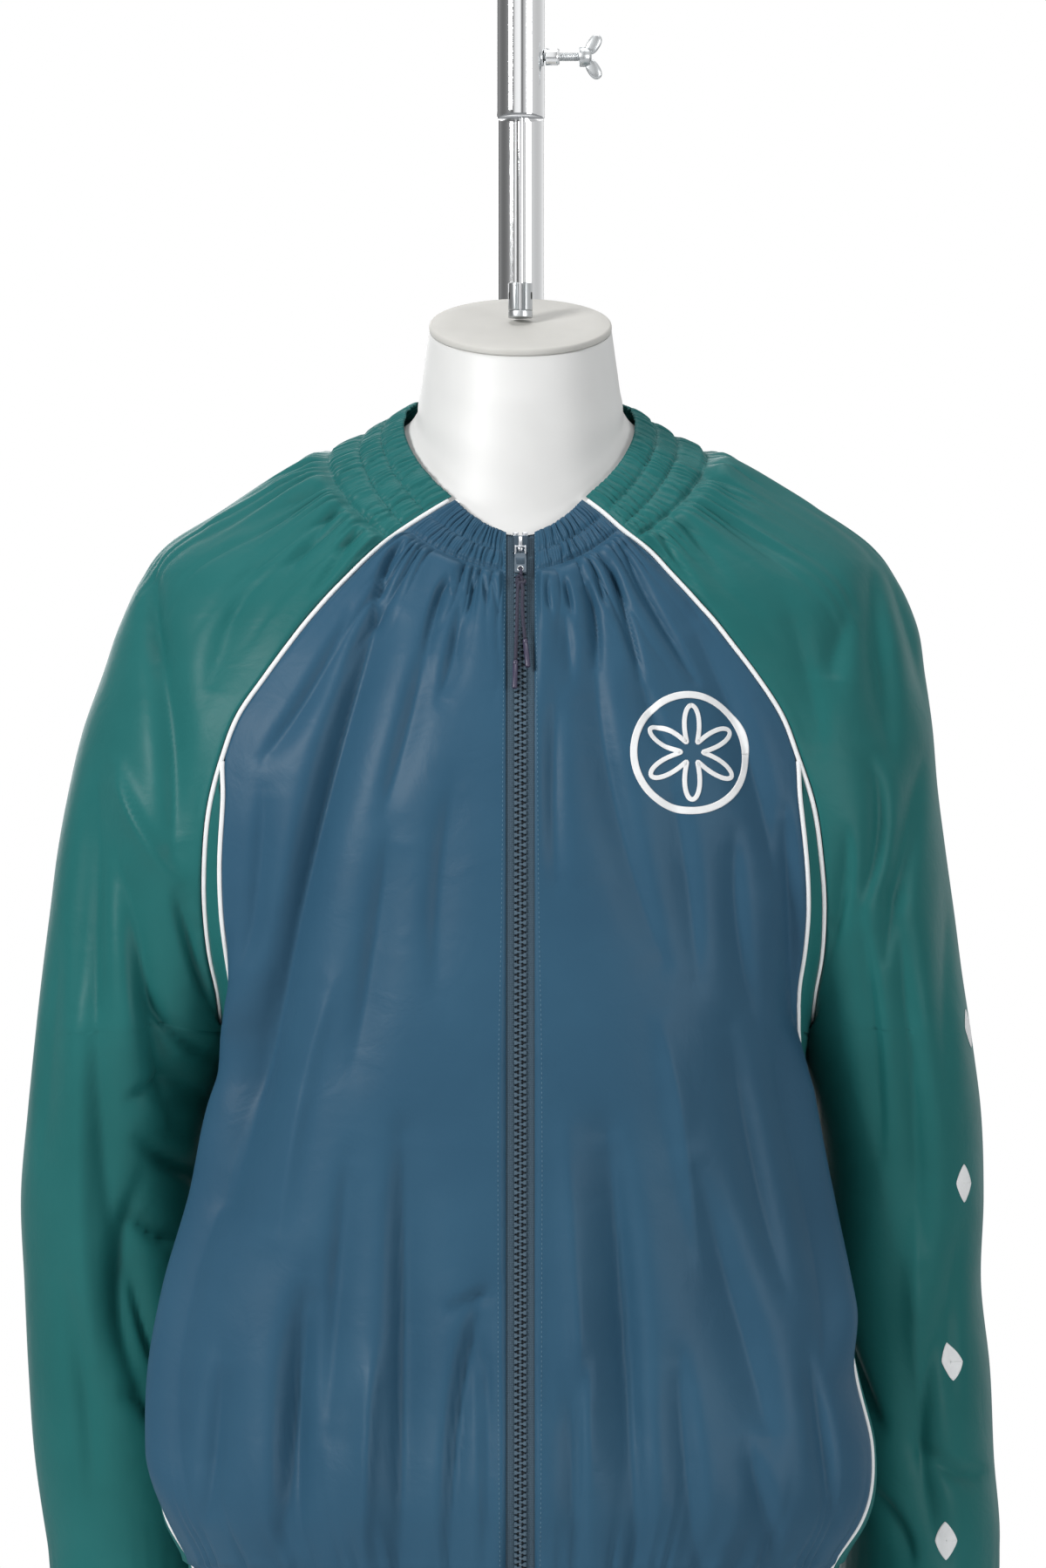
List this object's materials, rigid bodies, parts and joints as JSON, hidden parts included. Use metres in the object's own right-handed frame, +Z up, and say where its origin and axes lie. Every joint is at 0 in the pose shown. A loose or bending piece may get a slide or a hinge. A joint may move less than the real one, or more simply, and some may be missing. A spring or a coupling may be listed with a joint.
{
  "type": "windbreaker on a limbless torso form",
  "caption": "Zip-front raglan windbreaker with gathered neck, cuffs and hem, worn by a limbless torso form that hangs on a thin rod from a bent pole on a round base.",
  "frame": {"origin": "on the floor under the base plate, straight below the hanging rod and the neck", "axes": "+Z up; the front of the garment and its zip face -Y; +X is on the right when it is seen from the front"},
  "size_m": [0.5668, 0.3726, 1.849],
  "materials": {
    "blue_nylon": "thin calendered nylon with a soft sheen",
    "green_nylon": "thin calendered nylon with a soft sheen",
    "white_piping": "corded cotton piping",
    "zip_tape": "woven polyester tape",
    "zip_teeth": "moulded teeth",
    "zip_metal": "painted slider and tab",
    "pull_cord": "braided cord",
    "cord_tip": "moulded tip",
    "form_shell": "off-white moulded shell",
    "chrome_steel": "polished plating"
  },
  "bodies": {
    "stand": {"stand_base": "chrome_steel", "stand_pole": "chrome_steel", "screw_boss": "chrome_steel"},
    "hung_form": {"front_left": "blue_nylon", "front_right": "blue_nylon", "back": "blue_nylon", "side_left": "green_nylon", "side_right": "green_nylon", "sleeve_left": "green_nylon", "sleeve_right": "green_nylon", "armhole_piping_left": "white_piping", "armhole_piping_right": "white_piping", "side_piping_front_left": "white_piping", "side_piping_front_right": "white_piping", "side_piping_back_left": "white_piping", "side_piping_back_right": "white_piping", "zip_tape_left": "zip_tape", "zip_tape_right": "zip_tape", "zip_chain": "zip_teeth", "zip_box": "zip_teeth", "zip_slider": "zip_metal", "torso_form": "form_shell", "neck_cap": "form_shell", "hanging_rod": "chrome_steel", "rod_coupling": "chrome_steel"},
    "wing": {"wing_screw": "chrome_steel"},
    "puller": {"pull_tab": "zip_metal", "cord_knot": "pull_cord", "cord_long": "pull_cord", "cord_short": "pull_cord", "cord_tip_long": "cord_tip", "cord_tip_short": "cord_tip"}
  },
  "joints": [
    {"name": "form_height", "type": "slide", "parent": "stand", "child": "hung_form", "axis": [0, 0, 1], "range_m": [-0.025, 0.055]},
    {"name": "wing_screw_turn", "type": "hinge", "parent": "stand", "child": "wing", "pos_m": [0, 0, 1.6565], "axis": [1, 0, 0], "range_deg": [0, 360]},
    {"name": "pull_tab_swing", "type": "hinge", "parent": "hung_form", "child": "puller", "pos_m": [0, -0.08929, 1.36455], "axis": [-1, 0, 0], "range_deg": [0, 140]}
  ]
}
